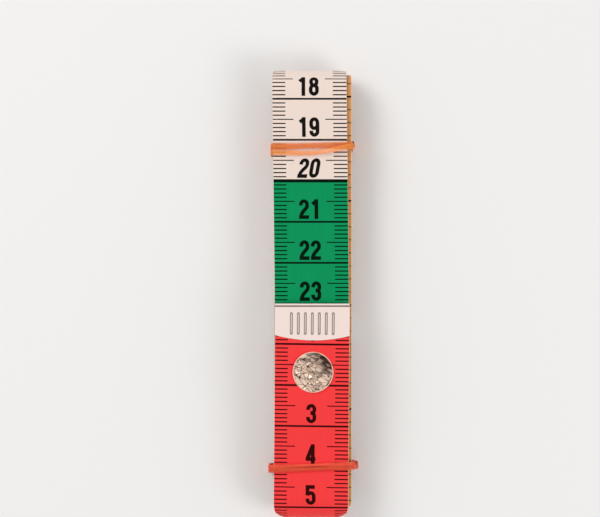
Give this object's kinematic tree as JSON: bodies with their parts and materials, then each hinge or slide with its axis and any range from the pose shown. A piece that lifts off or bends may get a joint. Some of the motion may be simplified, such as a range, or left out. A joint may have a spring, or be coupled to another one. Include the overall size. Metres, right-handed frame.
{
  "type": "cloth tape measure",
  "caption": "Tailor's tape doubled and wound flat in an elongated coil, its ferruled free end closed on the next turn by a press stud, held by rubber bands.",
  "frame": {"origin": "under the middle of the wound coil, on the plane of the two bands' undersides", "axes": "+Z out of the front of the coil, +Y along the coil towards its upper fold, +X to the right of the printed face"},
  "size_m": [0.0212, 0.1092, 0.0146],
  "materials": {
    "tape_cloth": "coated glass-fibre cloth, satin, printed in decimetres of red, white, green and orange with black graduations",
    "ferrule_metal": "white lacquered sheet metal",
    "snap_metal": "struck bright nickel",
    "spring_steel": "drawn wire",
    "band_rubber": "amber latex, slightly see-through"
  },
  "bodies": {
    "coil": {"tape_coil": "tape_cloth", "far_ferrule": "ferrule_metal", "snap_stud": "snap_metal", "snap_post": "snap_metal"},
    "flap_a": {"tape_flap_a": "tape_cloth"},
    "flap_b": {"tape_flap_b": "tape_cloth"},
    "flap_c": {"tape_flap_c": "tape_cloth"},
    "flap_snap": {"tape_flap_snap": "tape_cloth", "snap_cap": "snap_metal", "snap_socket": "snap_metal", "snap_spring": "spring_steel"},
    "flap_tip": {"tape_flap_tip": "tape_cloth", "start_ferrule": "ferrule_metal"},
    "upper_band": {"rubber_band_upper": "band_rubber"},
    "lower_band": {"rubber_band_lower": "band_rubber"}
  },
  "joints": [
    {"name": "free_end_lift", "type": "hinge", "parent": "coil", "child": "flap_a", "pos_m": [0, -0.03972, 0.01191], "axis": [1, 0, 0], "range_deg": [0, 25], "deforming": ["snap_spring"]},
    {"name": "crease_b", "type": "hinge", "parent": "flap_a", "child": "flap_b", "pos_m": [0, -0.03455, 0.01237], "axis": [1, 0, 0], "range_deg": [0, 25]},
    {"name": "crease_c", "type": "hinge", "parent": "flap_b", "child": "flap_c", "pos_m": [0, -0.02938, 0.01321], "axis": [1, 0, 0], "range_deg": [0, 25]},
    {"name": "crease_snap", "type": "hinge", "parent": "flap_c", "child": "flap_snap", "pos_m": [0, -0.02422, 0.01367], "axis": [1, 0, 0], "range_deg": [0, 25]},
    {"name": "crease_tip", "type": "hinge", "parent": "flap_snap", "child": "flap_tip", "pos_m": [0, -0.01272, 0.01367], "axis": [1, 0, 0], "range_deg": [0, 25]},
    {"name": "upper_band_slide", "type": "slide", "parent": "coil", "child": "upper_band", "axis": [0, 1, 0], "range_m": [0, 0.0215]},
    {"name": "lower_band_slide", "type": "slide", "parent": "coil", "child": "lower_band", "axis": [0, -1, 0], "range_m": [0, 0.0145]}
  ],
  "couplings": [
    {"joint": "crease_b", "follows": "free_end_lift", "ratio": 1},
    {"joint": "crease_c", "follows": "free_end_lift", "ratio": 1},
    {"joint": "crease_snap", "follows": "free_end_lift", "ratio": 1},
    {"joint": "crease_tip", "follows": "free_end_lift", "ratio": 1}
  ]
}
